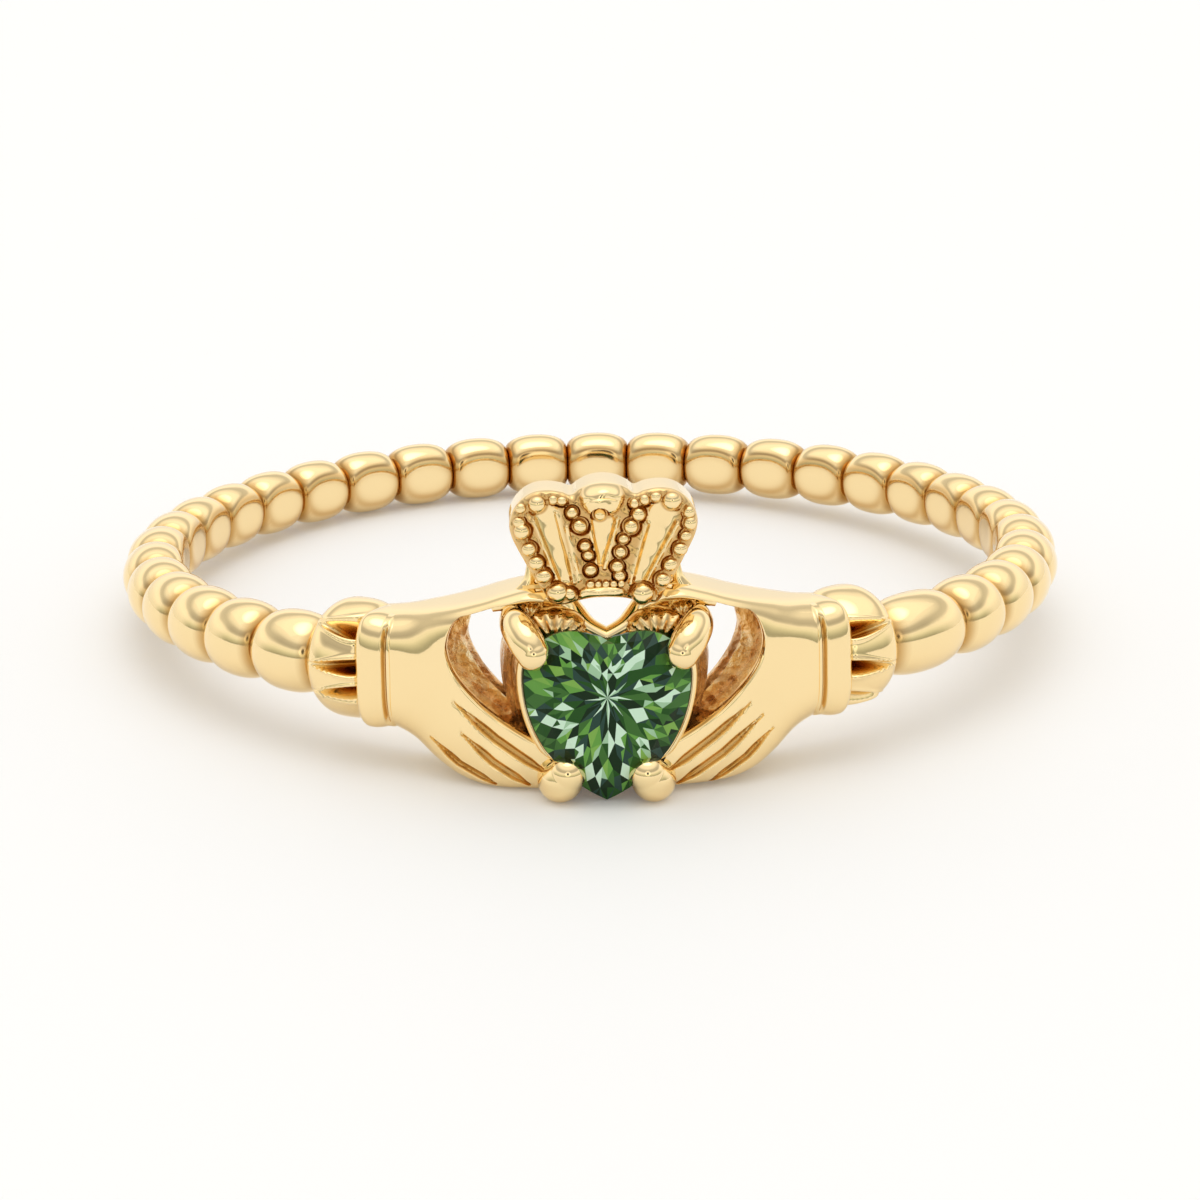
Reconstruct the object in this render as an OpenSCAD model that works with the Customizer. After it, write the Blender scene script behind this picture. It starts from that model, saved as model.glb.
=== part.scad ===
// Claddagh ring: beaded band, ruffled cuffs, two hands holding a heart stone, crown above
// Millimetres. The finger axis is Z and the head faces -Y before the ring is laid down to rest.

/* [Finger] */
// Inner diameter of the band
finger_d = 17.75; // [15.5:0.05:20]
// Half height of the flat that the finger touches inside each bead
flat_h = 0.45; // [0.3:0.05:0.6]

/* [Band] */
// Diameter of the beads beside the head
bead_front_d = 1.72; // [1.5:0.01:2]
// Diameter of the beads at the back
bead_back_d = 1.43; // [1.36:0.01:1.7]
// Number of equal beads between the two end beads
bead_count = 30; // [24:1:34]
// Arc of the end bead beside the left cuff, in degrees
left_end_bead = 9.45; // [8:0.05:12]
// Arc of the end bead beside the right cuff, in degrees
right_end_bead = 12.75; // [8:0.05:14]
// Rounding of a bead's ends
bead_corner = 0.4; // [0.2:0.02:0.44]
// Neck between beads, as a share of the bead's diameter
neck_share = 0.66; // [0.5:0.02:0.8]
// Room between one bead's end and the next
bead_gap = 0.08; // [0.04:0.01:0.15]

/* [Cuffs] */
// Angle from the head's centre to the outer edge of each cuff
cuff_deg = 35.2; // [33:0.1:37]
// Angle to the line where ruffle and sleeve meet
sleeve_deg = 28.2; // [27:0.1:30]
// Angle to the groove where sleeve and hand meet
wrist_deg = 24.6; // [23.5:0.1:26]
// Height of the ruffle along the finger
ruffle_h = 2.42; // [2.2:0.02:2.6]
// Height of the sleeve and the wrist along the finger
sleeve_h = 2.26; // [2:0.02:2.4]
// Thickness of the sleeve, from the finger to its front
sleeve_t = 1.625; // [1.5:0.025:1.9]
// Rounding of the sleeve's long edges
sleeve_round = 0.5; // [0.3:0.05:0.7]
// Width and depth of the groove at the wrist
wrist_groove = 0.12; // [0.06:0.01:0.2]
// Distance between the pleats cut into a ruffle
pleat_step = 0.64; // [0.5:0.02:0.75]
// Radius of a pleat at its deep end
pleat_r = 0.19; // [0.1:0.01:0.25]

/* [Hands] */
// Height of the thumb above the band's middle, where it meets the crown
thumb_z = 1.86; // [1.7:0.02:2]
// Depth of the fingers below the band's middle
finger_z = 2.16; // [1.9:0.02:2.16]
// Thickness of the hand beside the stone, from the finger to its front
hand_t = 1.975; // [1.75:0.025:2.2]
// Angle where the finger tips end under the stone
finger_end_deg = 5; // [4:0.5:7]
// Radius of the grooves between the fingers
groove_r = 0.11; // [0.06:0.01:0.15]

/* [Heart stone] */
// Width of the stone
stone_w = 3.26; // [3:0.02:3.4]
// Distance from the stone's widest line down to its tip
stone_tail = 2.49; // [2.3:0.01:2.6]
// Radius of the stone's two upper lobes
lobe_r = 0.93; // [0.88:0.01:1]
// Height of the stone's widest line above the band's middle
stone_z = 0.29; // [0.2:0.01:0.4]
// Distance of the girdle in front of the finger
girdle_out = 2.175; // [2.05:0.025:2.4]
// Thickness of the girdle
girdle_t = 0.08; // [0.05:0.01:0.12]
// Height of the facets above the girdle
stone_crown_h = 0.42; // [0.3:0.02:0.5]
// Depth of the facets below the girdle
pavilion_h = 1.5; // [1.3:0.05:1.6]
// Width of the table, as a share of the stone's width
table_share = 0.56; // [0.5:0.02:0.62]

/* [Setting] */
// Room between the stone and the metal
stone_gap = 0.04; // [0.02:0.01:0.08]
// Width of the metal rim that shows round the stone
rim_w = 0.2; // [0.12:0.01:0.24]
// Wall of the heart-shaped basket behind the stone
basket_wall = 0.42; // [0.3:0.02:0.5]
// Radius of the upper claws
claw_r = 0.33; // [0.26:0.01:0.36]
// Radius of the lower claws' balls
ball_r = 0.4; // [0.36:0.01:0.44]
// Sideways distance of the lower claws from the stone's middle
ball_x = 0.86; // [0.8:0.02:0.95]
// Depth of the lower claws below the band's middle
ball_z = 1.85; // [1.8:0.01:1.9]
// Turn of the whole setting in the head, in degrees
setting_turn = 1.1; // [0:0.1:2]

/* [Crown] */
// Width of the crown at its side lobes
crown_w = 3.64; // [3.4:0.02:3.8]
// Height of the crown's middle lobe above the band's middle
crown_z = 4.12; // [4:0.02:4.3]
// Width of the crown at its base
crown_base_w = 2.3; // [2.1:0.02:2.5]
// Height of the crown's base above the band's middle
crown_base_z = 1.72; // [1.66:0.02:1.8]
// Thickness of the crown's plate
crown_t = 0.95; // [0.7:0.05:1.1]
// Distance of the crown's front in front of the finger
crown_out = 1.875; // [1.75:0.025:2]
// Radius of the small grains on the crown
grain_r = 0.115; // [0.09:0.005:0.14]

/* [Hidden] */
$fn = 48;
finger_r = finger_d / 2;
// How far cutters and hidden ends reach past what they cut or join
over = 0.3;
// Length of cutters that pass through the head
through = 14;

// Band: the arc of each bead, from the right cuff round the back to the left one
equal_bead = (360 - 2 * cuff_deg - left_end_bead - right_end_bead) / bead_count;
bead_arcs = [right_end_bead, for (i = [1:bead_count]) equal_bead, left_end_bead];
last_bead = len(bead_arcs) - 1;
function arc_start(i) = i == 0 ? cuff_deg : arc_start(i - 1) + bead_arcs[i - 1];
bead_mids = [for (i = [0:last_bead]) arc_start(i) + bead_arcs[i] / 2];
// Beads shrink from the head to the back
taper_power = 4;
function front_share(a) = (180 - min(a, 360 - a)) / (180 - cuff_deg);
function bead_r(a) =
    (bead_back_d + (bead_front_d - bead_back_d) * pow(front_share(a), taper_power)) / 2;
function bead_ring_r(a) = finger_r + sqrt(pow(bead_r(a), 2) - pow(flat_h, 2));
// Length of the necks, most of it inside the beads that they join
neck_len = 0.8;
// A point at an angle from the head's middle, positive to the right
function ring_pt(a, r, z = 0) = [r * sin(a), -r * cos(a), z];

// Cuffs
sleeve_r = finger_r + sleeve_t;
ruffle_r = ruffle_h / 2;
cuff_ring_r = sleeve_r - sleeve_h / 2;
ruffle_mid = (cuff_deg + sleeve_deg) / 2;
ruffle_len = (cuff_deg - sleeve_deg) * PI / 180 * cuff_ring_r;
ruffle_corner_share = 0.36;
// Pleats: shares of the ruffle's length where they end and start, their spread and thin end
pleat_from = -0.4;
pleat_to = 0.5;
pleat_spread = 1.1;
pleat_thin = 0.2;
groove_deg = wrist_groove / sleeve_r * 180 / PI;

// Hands: share of the way from wrist to finger tips, then shares of the rise to the thumb,
// of the drop to the fingers and of the step forward to the stone
hand_rows = [
    [0.00, 0.00, 0.00, 0.00],
    [0.10, 0.07, 0.08, 0.10],
    [0.20, 0.15, 0.24, 0.22],
    [0.32, 0.29, 0.57, 0.36],
    [0.45, 0.45, 0.84, 0.50],
    [0.58, 0.63, 0.97, 0.64],
    [0.70, 0.82, 1.00, 0.76],
    [0.82, 0.97, 1.00, 0.88],
    [0.92, 1.00, 1.00, 0.95],
    [1.00, 1.00, 0.92, 1.00]
];
hand_front_r = finger_r + hand_t;
hand_start_deg = wrist_deg - groove_deg / 2;
// The palm's lining is a plain band that the finger touches; the shaped hand starts outside it
lining_t = 0.35;
hand_in_r = finger_r + lining_t / 2;
// How square the hand's section is at the wrist and at the fingers: 1 is an ellipse and 0 a box
wrist_soft = 0.45;
finger_soft = 0.25;
// How much lower the sleeve and the fingers are where they touch the wearer's finger
inner_taper = 0.14;
hand_section_step = 15;

// Openings in the hands: shares of the reach from the stone's middle and of the height
opening_reach = 3.09;
opening_back_reach = 2.7;
opening_top = 1.6;
opening_bottom = -1.25;
opening_back_bottom = -1.1;
opening_ledge_r = finger_r + 0.875;
opening_rows = [
    [0.30, 0.97], [0.60, 1.00], [0.80, 0.92], [0.93, 0.80], [1.00, 0.63],
    [0.95, 0.45], [0.84, 0.30], [0.68, 0.16], [0.50, 0.05], [0.30, 0.00]
];
// Grooves between the fingers: start and end as shares of the reach and of the fingers' depth
finger_grooves = [
    [0.92, -0.26, 0.42, -0.81],
    [0.97, -0.44, 0.47, -0.96],
    [1.08, -0.57, 0.68, -0.98]
];
groove_steps = 3;
groove_thin = 0.6;
groove_overlap = 0.04;

// Heart stone
girdle_y = finger_r + girdle_out;
half_w = stone_w / 2;
lobe_x = half_w - lobe_r;
side_r = (half_w * half_w + stone_tail * stone_tail) / (2 * half_w);
side_x = side_r - half_w;
// Middle of the facets, below the widest line
star_z = -0.45;
lobe_steps = 5;
side_steps = 5;
// Rings of facets between table and girdle and below the girdle: share of the outline, height
upper_ring = [0.83, 0.6];
lower_ring = [0.62, 0.42];

// Setting
basket_front = girdle_y - girdle_t;
// The rim ends at the lower claws; below them the cup stays behind the stone
rim_above_balls = 0.3;
rim_drop = ball_z + stone_z - rim_above_balls;
tip_inset = 0.06;
seat_depth = 0.6;
seat_r = girdle_y - seat_depth;
claw_over = 0.28;
claw_tip = [1.46, -(girdle_y + claw_over), 0.91];
claw_root = [1.72, -(finger_r + 0.75), 1.2];
ball_over = 0.1;
ball_at = [ball_x, -(girdle_y + ball_over), -ball_z];
ball_root = [ball_x + 0.1, -(finger_r + 0.6), 0.35 - ball_z];
ball_stem_r = 0.3;

// Crown: lobes and grains lie at shares of its half width and of its height
crown_front = finger_r + crown_out;
crown_h = crown_z - crown_base_z;
mid_lobe_r = 0.62;
side_lobe_r = 0.72;
side_lobe_z = 3.28;
// Where the side lobes narrow into the crown's waist, as shares of their radius
waist_in = 0.1;
waist_down = 0.45;
shoulder = [0.34, 0.9];
crown_arch_r = 3;
crown_arch_rise = 0.1;
function crown_xz(across, up) = [across * crown_w / 2, crown_base_z + up * crown_h];
// Rows of grains: first and last place, number of grains, size against the small grains
grain_rows = [
    [[0.64, 0.22], [0.89, 0.58], 5, 1.10],
    [[0.92, 0.67], [0.89, 0.76], 2, 0.95],
    [[0.71, 0.84], [0.71, 0.84], 1, 1.65],
    [[0.55, 0.86], [0.43, 0.85], 2, 0.90],
    [[0.15, 0.24], [0.28, 0.64], 5, 1.00],
    [[0.36, 0.75], [0.36, 0.75], 1, 1.15],
    [[0.47, 0.11], [0.47, 0.11], 1, 1.55],
    [[0.33, 0.12], [0.33, 0.12], 1, 1.00]
];
// Pearls on the middle lobe, and their size against the small grains
pearl_rows = [[-0.02, 0.91, 1.35], [-0.03, 0.74, 1.05]];
// Flutes between the rows of grains: foot, head and radius at the head
flute_rows = [[0.30, 0.24, 0.53, 0.76, 0.27], [0, 0.26, 0, 0.68, 0.22]];
flute_foot_r = 0.1;
flute_out = 0.08;
// Raised plate in the middle of the crown's base
plate_w = 0.92;
plate_h = 0.24;
plate_rise = 0.08;
// Bridge between the setting and the crown, with a V-shaped opening
bridge_back_r = finger_r - over;
bridge_front_r = girdle_y - 0.75;
bridge_half_w = 1.5;
bridge_low_z = 0.8;
vee_half_w = 0.54;
vee_foot_z = 1.02;
vee_front_r = girdle_y - 0.45;
vee_top_share = 0.33;
// Behind the V the setting is open as a plain slot
slot_half_w = 0.6;
slot_front_r = finger_r + 0.875;
slot_low_z = 0.3;
// Webs that rise from the thumbs behind the crown's sides
web_t = 0.6;
web_front_r = crown_front - 0.55;
web_back_r = web_front_r - web_t;
web_in = 0.7;
web_foot = [1.8, thumb_z - 0.06];
web_head = [1.35, 2.66];

// Rest: the ring lies on both balls and on the bead that comes down first at the back
function back_tilt(i) =
    let (a = bead_mids[i], r = bead_ring_r(a),
        x = r * sin(a), y = -r * cos(a), z = x * sin(setting_turn),
        reach = y - ball_at.y, drop = ball_at.z - z,
        size = sqrt(reach * reach + drop * drop))
    asin((ball_r - bead_r(a)) / size) - atan2(drop, reach);
back_search = 12;
back_beads = [for (i = [0:last_bead]) if (abs(bead_mids[i] - 180) < back_search) i];
rest_tilt = min([for (i = back_beads) back_tilt(i)]);
rest_lift = ball_r + ball_at.y * sin(rest_tilt) - ball_at.z * cos(rest_tilt);
front_reach = -ball_at.y * cos(rest_tilt) - ball_at.z * sin(rest_tilt) + ball_r;
back_reach = bead_ring_r(180) * cos(rest_tilt) + bead_r(180);

// A rod with a round section from one point to another
module rod(p, q, r1, r2) {
    d = q - p;
    translate(p) rotate([0, acos(d.z / norm(d)), atan2(d.y, d.x)])
        cylinder(h = norm(d), r1 = r1, r2 = r2);
}

// A rod from one point to a ball at another
module rod_and_ball(p, q, r, end_r) {
    d = q - p;
    translate(p) rotate([0, acos(d.z / norm(d)), atan2(d.y, d.x)]) rotate_extrude() {
        square([r, norm(d)]);
        intersection() {
            translate([0, norm(d)]) circle(end_r);
            square([end_r, norm(d) + end_r]);
        }
    }
}

// Both sides of the head
module both_sides() {
    children();
    mirror([1, 0, 0]) children();
}

// Something at an angle round the ring, its X along the band and its -Y outward
module at_ring(a, r) {
    translate(ring_pt(a, r)) rotate([0, 0, a]) children();
}

// A shape drawn in the front view and cut or built from one depth to another
module from_front(back, front) {
    translate([0, -back, 0]) rotate([90, 0, 0]) linear_extrude(front - back) children();
}

// A barrel with rounded ends, along X
module barrel(r, length, corner) {
    rotate([0, 90, 0]) translate([0, 0, -length / 2]) rotate_extrude() {
        square([r - corner, length]);
        translate([0, corner]) square([r, length - 2 * corner]);
        for (end = [corner, length - corner]) translate([r - corner, end])
            intersection() {
                circle(corner);
                translate([-corner / 2, -corner]) square([corner * 1.5, 2 * corner]);
            }
    }
}

module beaded_band() {
    for (i = [0:last_bead]) {
        a = bead_mids[i];
        length = bead_arcs[i] * PI / 180 * bead_ring_r(a) - bead_gap;
        at_ring(a, bead_ring_r(a)) barrel(bead_r(a), length, bead_corner);
    }
    for (i = [0:last_bead + 1]) let (a = arc_start(i))
        at_ring(a, bead_ring_r(a)) rotate([0, 90, 0])
            cylinder(h = neck_len, r = neck_share * bead_r(a), center = true);
}

// A stretch of sleeve between two angles, kept back from its surface by less
module sleeve_stretch(from, to, less) {
    front = sleeve_r - less;
    top = sleeve_h / 2 - less;
    inner = finger_r - over;
    inner_top = top * (1 - inner_taper);
    edge = front - sleeve_round;
    rotate([0, 0, from - 90]) rotate_extrude(angle = to - from) {
        polygon([[inner, -inner_top], [edge, -top], [edge, sleeve_round - top],
            [front, sleeve_round - top], [front, top - sleeve_round], [edge, top - sleeve_round],
            [edge, top], [inner, inner_top]]);
        for (side = [-1, 1]) translate([edge, side * (top - sleeve_round)])
            circle(sleeve_round);
    }
}

// The pleats narrow from the sleeve towards the band
module pleats() {
    for (i = [-1:1]) {
        z = i * pleat_step;
        out = sqrt(ruffle_r * ruffle_r - z * z);
        at_ring(ruffle_mid, cuff_ring_r)
            rod([ruffle_len * pleat_from, -out, z], [ruffle_len * pleat_to, -out, z * pleat_spread],
                pleat_r, pleat_r * pleat_thin);
    }
}

module cuff() {
    difference() {
        at_ring(ruffle_mid, cuff_ring_r) barrel(ruffle_r, ruffle_len, ruffle_len * ruffle_corner_share);
        pleats();
    }
    sleeve_stretch(wrist_deg + groove_deg / 2, sleeve_deg + groove_deg, 0);
    sleeve_stretch(wrist_deg - groove_deg, wrist_deg + groove_deg, wrist_groove);
}

// One section of the hand, from its lower edge over the front to its upper edge
function hand_section(row) =
    let (a = hand_start_deg + (finger_end_deg - hand_start_deg) * row[0],
        top = sleeve_h / 2 + (thumb_z - sleeve_h / 2) * row[1],
        low = sleeve_h / 2 + (finger_z - sleeve_h / 2) * row[2],
        front = sleeve_r + (hand_front_r - sleeve_r) * row[3])
    [for (t = [-90:hand_section_step:90])
        let (soft = t > 0 ? wrist_soft : wrist_soft + (finger_soft - wrist_soft) * row[2],
            taper = inner_taper * (t > 0 ? 1 - row[1] : 1),
            out = pow(abs(cos(t)), soft))
        ring_pt(a, hand_in_r + (front - hand_in_r) * out,
            (t > 0 ? top : -low) * pow(abs(sin(t)), soft) * (1 - taper * (1 - out)))];

// A solid through rings of equally many points, closed at both ends
module loft(rings) {
    n = len(rings[0]);
    last = (len(rings) - 1) * n;
    polyhedron(
        points = [for (ring = rings) each ring],
        faces = [
            [for (j = [0:n - 1]) j],
            [for (j = [n - 1:-1:0]) last + j],
            for (i = [0:n:last - n]) for (j = [0:n - 1]) each [
                [i + j, i + n + j, i + (j + 1) % n],
                [i + (j + 1) % n, i + n + j, i + n + (j + 1) % n]
            ]
        ]
    );
}

module opening_shape(reach, low) {
    polygon([for (row = opening_rows) [row[0] * reach, low + row[1] * (opening_top - low)]]);
}

module hand_opening() {
    from_front(opening_ledge_r, through) opening_shape(opening_reach, opening_bottom);
    from_front(0, opening_ledge_r + over) opening_shape(opening_back_reach, opening_back_bottom);
}

// A point on the fingers' front, from its place in the front view
function finger_front(x, z) =
    let (along = (hand_start_deg - asin(x / hand_front_r)) / (hand_start_deg - finger_end_deg),
        front = sleeve_r + (hand_front_r - sleeve_r) * along,
        curl = pow(1 - pow(min(1, abs(z) / finger_z), 2 / finger_soft), finger_soft / 2),
        r = hand_in_r + (front - hand_in_r) * curl)
    [x, -sqrt(r * r - x * x), z];

function groove_point(g, along) =
    finger_front((g[0] + (g[2] - g[0]) * along) * opening_reach,
        (g[1] + (g[3] - g[1]) * along) * finger_z);

// Grooves that follow the fingers' front in straight stretches, each wider than the one before
module finger_lines() {
    for (g = finger_grooves) for (i = [0:groove_steps - 1])
        let (p = groove_point(g, i / groove_steps), q = groove_point(g, (i + 1) / groove_steps),
            back = (p - q) / norm(p - q) * groove_overlap,
            r = groove_r * (groove_thin + (1 - groove_thin) * i / (groove_steps - 1)))
            rod(p + back, q, r, r);
}

module palm_lining() {
    inner = finger_r - over;
    rotate([0, 0, finger_end_deg - 90]) rotate_extrude(angle = hand_start_deg - finger_end_deg)
        translate([inner, over - sleeve_h / 2]) square([over + lining_t, sleeve_h - 2 * over]);
}

module hand() {
    difference() {
        union() {
            loft([for (row = hand_rows) hand_section(row)]);
            palm_lining();
        }
        hand_opening();
        finger_lines();
    }
}

// Outline of the heart in the front view, grown by an even margin
module heart_outline(grow) {
    intersection() {
        translate([-side_x, 0]) circle(side_r + grow);
        translate([side_x, 0]) circle(side_r + grow);
        translate([-half_w - grow, -2 * stone_tail]) square([2 * (half_w + grow), 2 * stone_tail]);
    }
    for (side = [-1, 1]) translate([side * lobe_x, 0]) circle(lobe_r + grow);
}

// The same outline as points, from the notch down the right side to the tip and back up
function heart_points(grow) =
    let (notch = acos(-lobe_x / (lobe_r + grow)),
        tip = -acos(side_x / (side_r + grow)),
        right = [
            for (i = [0:lobe_steps - 1]) let (t = notch * (1 - i / lobe_steps))
                [lobe_x + (lobe_r + grow) * cos(t), (lobe_r + grow) * sin(t)],
            for (i = [0:side_steps]) let (t = tip * i / side_steps)
                [-side_x + (side_r + grow) * cos(t), (side_r + grow) * sin(t)]
        ],
        n = len(right))
    [each right, for (i = [n - 2:-1:1]) [-right[i].x, right[i].y]];

// A ring of points pulled towards the middle of the facets, half a step round if between is 1
function facet_ring(outline, share, out, between) =
    let (n = len(outline))
    [for (i = [0:n - 1])
        let (p = outline[i], q = outline[(i + between) % n], m = (p + q) / 2)
        [m.x * share, -out, stone_z + star_z + (m.y - star_z) * share]];

// The cut stone, grown by an even margin for the room that the metal leaves round it
module stone_body(grow) {
    outline = heart_points(grow);
    n = len(outline);
    rings = [
        facet_ring(outline, table_share, girdle_y + stone_crown_h + grow, 0),
        facet_ring(outline, upper_ring.x, girdle_y + stone_crown_h * upper_ring.y + grow, 1),
        facet_ring(outline, 1, girdle_y + grow * 0.5, 0),
        facet_ring(outline, 1, girdle_y - girdle_t - grow * 0.5, 0),
        facet_ring(outline, lower_ring.x, girdle_y - girdle_t - pavilion_h * lower_ring.y - grow, 1)
    ];
    culet = [0, -(girdle_y - girdle_t - pavilion_h - grow), stone_z + star_z];
    polyhedron(
        points = [for (ring = rings) each ring, culet],
        faces = [
            [for (i = [0:n - 1]) i],
            for (i = [0:n - 1]) let (j = (i + 1) % n) each [
                [j, i, n + i],
                [2 * n + j, j, n + i],
                [n + j, j, 2 * n + j],
                [2 * n + j, n + i, 2 * n + i],
                [2 * n + j, 2 * n + i, 3 * n + j],
                [3 * n + j, 2 * n + i, 3 * n + i],
                [3 * n + j, 3 * n + i, 4 * n + i],
                [4 * n + j, 3 * n + j, 4 * n + i],
                [4 * n + j, 4 * n + i, 5 * n]
            ]
        ]
    );
}

// Heart-shaped cup behind the stone, with a rim round the girdle
module basket() {
    difference() {
        from_front(finger_r - over, basket_front) translate([0, stone_z]) union() {
            intersection() {
                heart_outline(stone_gap + rim_w);
                translate([-stone_w, -rim_drop]) square([2 * stone_w, rim_drop + stone_w]);
            }
            heart_outline(-tip_inset);
        }
        from_front(0, seat_r) translate([0, stone_z])
            heart_outline(stone_gap + rim_w - basket_wall);
    }
}

module claws() {
    both_sides() {
        rod_and_ball(claw_root, claw_tip, claw_r, claw_r);
        rod_and_ball(ball_root, ball_at, ball_stem_r, ball_r);
    }
}

// The setting is turned a little in the head
module turned() {
    rotate([0, setting_turn, 0]) children();
}

module bridge() {
    from_front(bridge_back_r, bridge_front_r)
        polygon([[-bridge_half_w, thumb_z], [-bridge_half_w * 0.7, bridge_low_z],
            [bridge_half_w * 0.7, bridge_low_z], [bridge_half_w, thumb_z]]);
    both_sides() from_front(web_back_r, web_front_r)
        polygon([web_foot, web_head, [web_in, web_head.y], [web_in, web_foot.y]]);
}

// The opening between the heart's notch and the crown, wider behind so that light comes through
module vee_opening() {
    top = crown_base_z + crown_arch_rise * vee_top_share;
    from_front(slot_front_r - over, vee_front_r)
        polygon([[-vee_half_w, top], [0, vee_foot_z], [vee_half_w, top]]);
    from_front(0, slot_front_r) translate([-slot_half_w, slot_low_z])
        square([2 * slot_half_w, thumb_z + over - slot_low_z]);
}

module crown_outline() {
    waist_x = crown_w / 2 - side_lobe_r * waist_in;
    waist_z = side_lobe_z - side_lobe_r * waist_down;
    polygon([
        [-crown_base_w / 2, crown_base_z], [crown_base_w / 2, crown_base_z],
        [waist_x, waist_z], crown_xz(shoulder.x, shoulder.y),
        crown_xz(-shoulder.x, shoulder.y), [-waist_x, waist_z]
    ]);
    for (side = [-1, 1])
        translate([side * (crown_w / 2 - side_lobe_r), side_lobe_z]) circle(side_lobe_r);
    translate([0, crown_z - mid_lobe_r]) circle(mid_lobe_r);
}

module grains() {
    both_sides() for (row = grain_rows) for (i = [0:row[2] - 1]) {
        share = row[2] == 1 ? 0 : i / (row[2] - 1);
        p = crown_xz(row[0].x + (row[1].x - row[0].x) * share,
            row[0].y + (row[1].y - row[0].y) * share);
        translate([p.x, -crown_front, p.y]) sphere(grain_r * row[3], $fn = 24);
    }
    for (row = pearl_rows) let (p = crown_xz(row[0], row[1]))
        translate([p.x, -crown_front, p.y]) sphere(grain_r * row[2], $fn = 24);
}

module flutes() {
    out = crown_front + flute_out;
    both_sides() for (row = flute_rows)
        let (foot = crown_xz(row[0], row[1]), head = crown_xz(row[2], row[3]))
            rod([foot.x, -out, foot.y], [head.x, -out, head.y], flute_foot_r, row[4]);
}

module crown() {
    difference() {
        from_front(crown_front - crown_t, crown_front) difference() {
            crown_outline();
            translate([0, crown_base_z + crown_arch_rise - crown_arch_r]) circle(crown_arch_r);
        }
        flutes();
    }
    from_front(crown_front - crown_t, crown_front + plate_rise)
        translate([-plate_w / 2, crown_base_z + crown_arch_rise]) square([plate_w, plate_h]);
    grains();
}

module ring_metal() {
    difference() {
        union() {
            beaded_band();
            both_sides() cuff();
            both_sides() hand();
            bridge();
            crown();
            turned() basket();
            turned() claws();
        }
        turned() stone_body(stone_gap);
        vee_opening();
        cylinder(h = through, r = finger_r, center = true, $fn = 96);
    }
}

// Lays the ring down on the balls of its lower claws and the back of the band
module at_rest() {
    translate([0, (front_reach - back_reach) / 2, rest_lift])
        rotate([-rest_tilt, 0, 0]) rotate([0, -setting_turn, 0]) children();
}

module ring_casting() {
    color("gold") at_rest() ring_metal();
}

module heart_stone() {
    color("mediumseagreen") at_rest() turned() stone_body(0);
}

ring_casting();
heart_stone();
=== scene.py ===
import math
import random

import bmesh
import bpy
from mathutils import Matrix, Vector


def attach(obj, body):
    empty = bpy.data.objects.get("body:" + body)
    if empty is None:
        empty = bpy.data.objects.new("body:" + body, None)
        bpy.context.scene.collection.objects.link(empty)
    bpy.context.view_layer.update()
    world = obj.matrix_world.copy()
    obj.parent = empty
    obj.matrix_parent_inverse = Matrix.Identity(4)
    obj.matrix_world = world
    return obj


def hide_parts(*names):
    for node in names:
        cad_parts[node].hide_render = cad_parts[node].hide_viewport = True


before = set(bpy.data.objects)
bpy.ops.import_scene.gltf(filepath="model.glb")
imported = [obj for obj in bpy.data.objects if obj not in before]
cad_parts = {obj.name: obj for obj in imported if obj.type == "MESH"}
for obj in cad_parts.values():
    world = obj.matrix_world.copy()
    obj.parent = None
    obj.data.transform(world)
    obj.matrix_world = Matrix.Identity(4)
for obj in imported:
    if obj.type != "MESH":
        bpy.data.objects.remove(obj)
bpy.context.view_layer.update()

print("packed model loaded")

# Shapes are drawn in millimetres with the finger along Z and the head facing -Y,
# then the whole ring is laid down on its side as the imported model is.
rest = {"tilt": 4.22073, "lift": 1.42435, "shift": 0.767932, "turn": 1.1}
toMetres = Matrix.Scale(0.001, 4)
turned = Matrix.Rotation(math.radians(rest["turn"]), 4, "Y")
laidDown = (toMetres @ Matrix.Translation((0, rest["shift"], rest["lift"]))
            @ Matrix.Rotation(math.radians(-rest["tilt"]), 4, "X") @ turned.inverted())
fingerRadius = 8.875


# Shader maths

class Wire:  # a socket that plain arithmetic can be written on
    def __init__(self, finish, socket):
        self.finish = finish
        self.socket = socket

    def maths(self, operation, first, second=0.0):
        return self.finish.add("ShaderNodeMath", {"operation": operation}, {0: first, 1: second})

    def __add__(self, other):
        return self.maths("ADD", self, other)

    def __sub__(self, other):
        return self.maths("SUBTRACT", self, other)

    def __rsub__(self, other):
        return self.maths("SUBTRACT", other, self)

    def __mul__(self, other):
        return self.maths("MULTIPLY", self, other)

    def clamped(self, low, high):
        return self.maths("MINIMUM", self.maths("MAXIMUM", self, low), high)

    __radd__ = __add__
    __rmul__ = __mul__


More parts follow.
